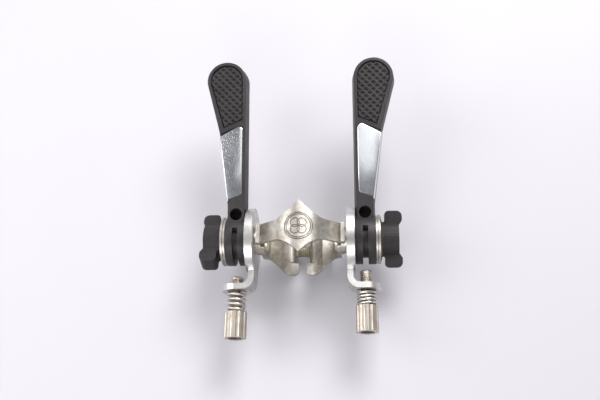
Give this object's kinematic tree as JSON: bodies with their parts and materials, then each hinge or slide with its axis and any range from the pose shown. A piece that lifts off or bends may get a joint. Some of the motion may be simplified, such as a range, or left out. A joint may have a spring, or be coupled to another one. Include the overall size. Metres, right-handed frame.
{
  "type": "bicycle stem shifter pair",
  "caption": "Friction shift levers on a stem clamp: black levers with metal inlays, wing nuts for tension and fluted barrel adjusters for the cables",
  "frame": {"origin": "centre of the stem clamp, on the stem's axis, level with the lever pivots along the stem", "axes": "+Y along the stem towards the lever tips, +Z out of the engraved front plate, +X to the right along the pivots"},
  "size_m": [0.0808, 0.1138, 0.0394],
  "materials": {
    "clamp_steel": "satin, tarnished",
    "bright_steel": "bright zinc plate, worn",
    "zinc_fastener": "yellow zinc, dull",
    "brass": "machined",
    "lever_plastic": "moulded, matte",
    "polished_inlay": "polished, scratched",
    "fibre": "pressed fibre",
    "nut_plastic": "moulded, matte, ribbed",
    "spring_steel": "drawn wire",
    "barrel_metal": "plated, tarnished"
  },
  "bodies": {
    "clamp": {"front_plate": "clamp_steel", "left_rear_plate": "clamp_steel", "right_rear_plate": "clamp_steel", "clamp_bolt": "zinc_fastener", "clamp_washer": "zinc_fastener", "clamp_nut": "zinc_fastener", "left_bracket": "bright_steel", "left_pivot_bolt": "zinc_fastener", "left_ear_spacer": "clamp_steel", "left_stop_plate": "bright_steel", "left_bush": "brass", "left_friction_washer": "clamp_steel", "left_fibre_washer": "fibre", "left_cover_disc": "clamp_steel", "right_bracket": "bright_steel", "right_pivot_bolt": "zinc_fastener", "right_ear_spacer": "clamp_steel", "right_stop_plate": "bright_steel", "right_bush": "brass", "right_friction_washer": "clamp_steel", "right_fibre_washer": "fibre", "right_cover_disc": "clamp_steel"},
    "left_lever": {"left_lever": "lever_plastic", "left_lever_inlay": "polished_inlay"},
    "left_wing_nut": {"left_wing_nut": "nut_plastic", "left_nut_insert": "brass"},
    "left_spring": {"left_barrel_spring": "spring_steel"},
    "left_barrel": {"left_barrel_adjuster": "barrel_metal"},
    "right_lever": {"right_lever": "lever_plastic", "right_lever_inlay": "polished_inlay"},
    "right_wing_nut": {"right_wing_nut": "nut_plastic", "right_nut_insert": "brass"},
    "right_spring": {"right_barrel_spring": "spring_steel"},
    "right_barrel": {"right_barrel_adjuster": "barrel_metal"}
  },
  "joints": [
    {"name": "left_lever_pivot", "type": "hinge", "parent": "clamp", "child": "left_lever", "pos_m": [-0.02585, 0, -0.003], "axis": [1, 0, 0], "range_deg": [-24, 90]},
    {"name": "left_wing_nut_turn", "type": "hinge", "parent": "clamp", "child": "left_wing_nut", "pos_m": [-0.036, 0, -0.003], "axis": [1, 0, 0], "range_deg": [-360, 180]},
    {"name": "left_barrel_turn", "type": "hinge", "parent": "clamp", "child": "left_spring", "pos_m": [-0.02585, -0.0205, -0.0054], "axis": [0, 1, 0], "range_deg": [-182, 1622], "deforming": ["left_barrel_spring"]},
    {"name": "left_barrel_travel", "type": "slide", "parent": "left_spring", "child": "left_barrel", "axis": [0, 1, 0], "range_m": [-0.0004, 0.0036], "deforming": ["left_barrel_spring"]},
    {"name": "right_lever_pivot", "type": "hinge", "parent": "clamp", "child": "right_lever", "pos_m": [0.02585, 0, -0.003], "axis": [1, 0, 0], "range_deg": [-24, 90]},
    {"name": "right_wing_nut_turn", "type": "hinge", "parent": "clamp", "child": "right_wing_nut", "pos_m": [0.036, 0, -0.003], "axis": [1, 0, 0], "range_deg": [-180, 360]},
    {"name": "right_barrel_turn", "type": "hinge", "parent": "clamp", "child": "right_spring", "pos_m": [0.02585, -0.0205, -0.0054], "axis": [0, 1, 0], "range_deg": [-1082, 722], "deforming": ["right_barrel_spring"]},
    {"name": "right_barrel_travel", "type": "slide", "parent": "right_spring", "child": "right_barrel", "axis": [0, 1, 0], "range_m": [-0.0024, 0.0016], "deforming": ["right_barrel_spring"]}
  ],
  "couplings": [
    {"joint": "left_barrel_turn", "follows": "left_barrel_travel", "rad_per_m": 7854},
    {"joint": "right_barrel_turn", "follows": "right_barrel_travel", "rad_per_m": 7854}
  ]
}
